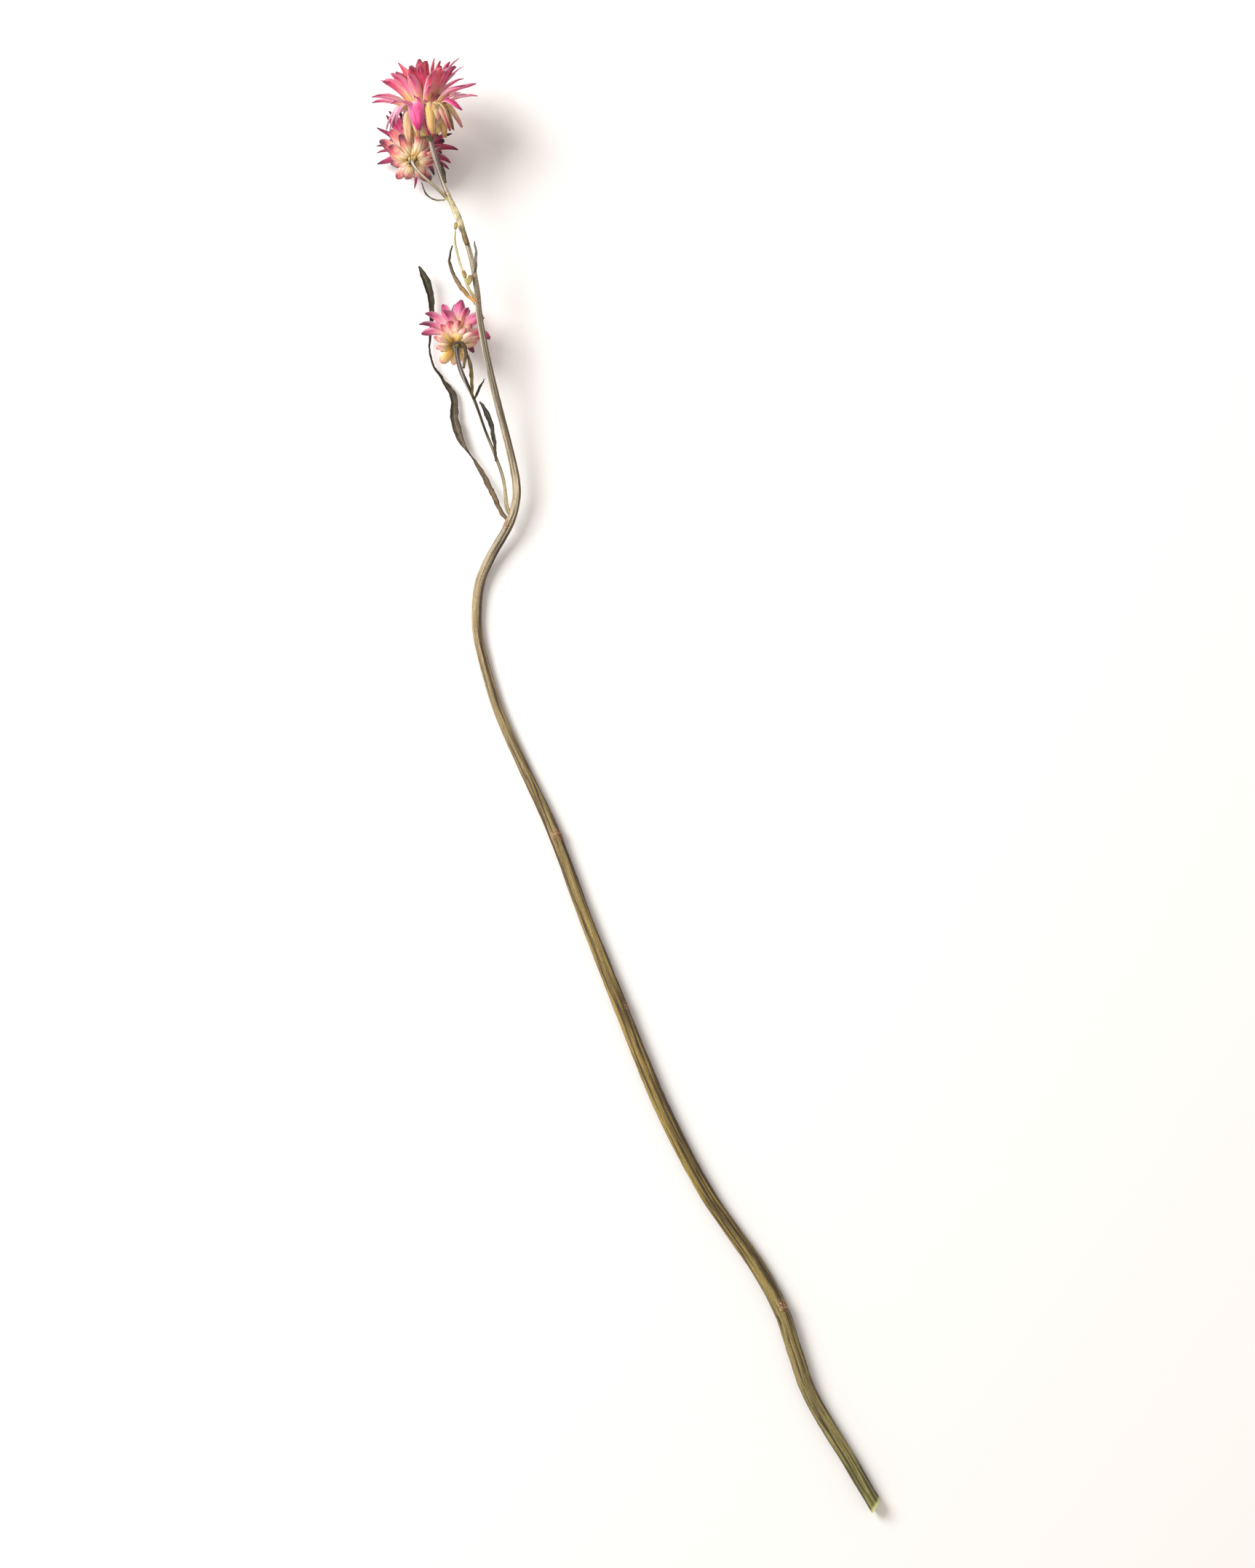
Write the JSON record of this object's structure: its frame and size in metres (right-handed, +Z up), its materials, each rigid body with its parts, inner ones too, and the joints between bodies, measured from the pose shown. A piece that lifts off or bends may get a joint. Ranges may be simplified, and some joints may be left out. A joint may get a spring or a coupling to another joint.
{
  "type": "dried strawflower",
  "caption": "Cut stem of dried strawflower lying flat: a wavy ribbed stem, curled narrow leaves and papery pink flower heads.",
  "frame": {"origin": "on the surface, at the middle of the ground that the plant covers", "axes": "+Y along the stem from its cut end towards the upper head, +Z up off the surface that it lies on, +X to the right of the stem seen from above"},
  "size_m": [0.1382, 0.3932, 0.0349],
  "materials": {
    "stem": "dry ribbed bark, dull",
    "leaf": "dried and wrinkled, dull",
    "receptacle": "dull",
    "disc_florets": "fibrous",
    "base_scales": "dry, dull",
    "outer_bracts": "papery, satin",
    "middle_bracts": "papery, satin",
    "spreading_bracts": "papery, satin",
    "inner_bracts": "papery, satin"
  },
  "bodies": {
    "root": {"main_stem": "stem", "lower_side_stem": "stem", "nodding_side_stem": "stem", "side_shoot": "stem", "leaf_long_twisted": "leaf", "leaf_along_side_stem": "leaf", "leaf_spike": "leaf", "leaf_below_head": "leaf", "leaf_stub": "leaf", "leaf_at_node": "leaf", "leaf_pointed": "leaf", "leaf_clasping": "leaf", "leaf_curled": "leaf", "leaf_under_head": "leaf", "upper_head_receptacle": "receptacle", "upper_head_disc_florets": "disc_florets", "upper_head_base_scales": "base_scales", "upper_head_outer_bracts": "outer_bracts", "upper_head_middle_bracts": "middle_bracts", "upper_head_spreading_bracts": "spreading_bracts", "upper_head_inner_bracts": "inner_bracts", "nodding_head_receptacle": "receptacle", "nodding_head_disc_florets": "disc_florets", "nodding_head_base_scales": "base_scales", "nodding_head_outer_bracts": "outer_bracts", "nodding_head_middle_bracts": "middle_bracts", "nodding_head_spreading_bracts": "spreading_bracts", "nodding_head_inner_bracts": "inner_bracts", "lower_head_receptacle": "receptacle", "lower_head_disc_florets": "disc_florets", "lower_head_base_scales": "base_scales", "lower_head_outer_bracts": "outer_bracts", "lower_head_middle_bracts": "middle_bracts", "lower_head_spreading_bracts": "spreading_bracts", "lower_head_inner_bracts": "inner_bracts"}
  },
  "joints": []
}
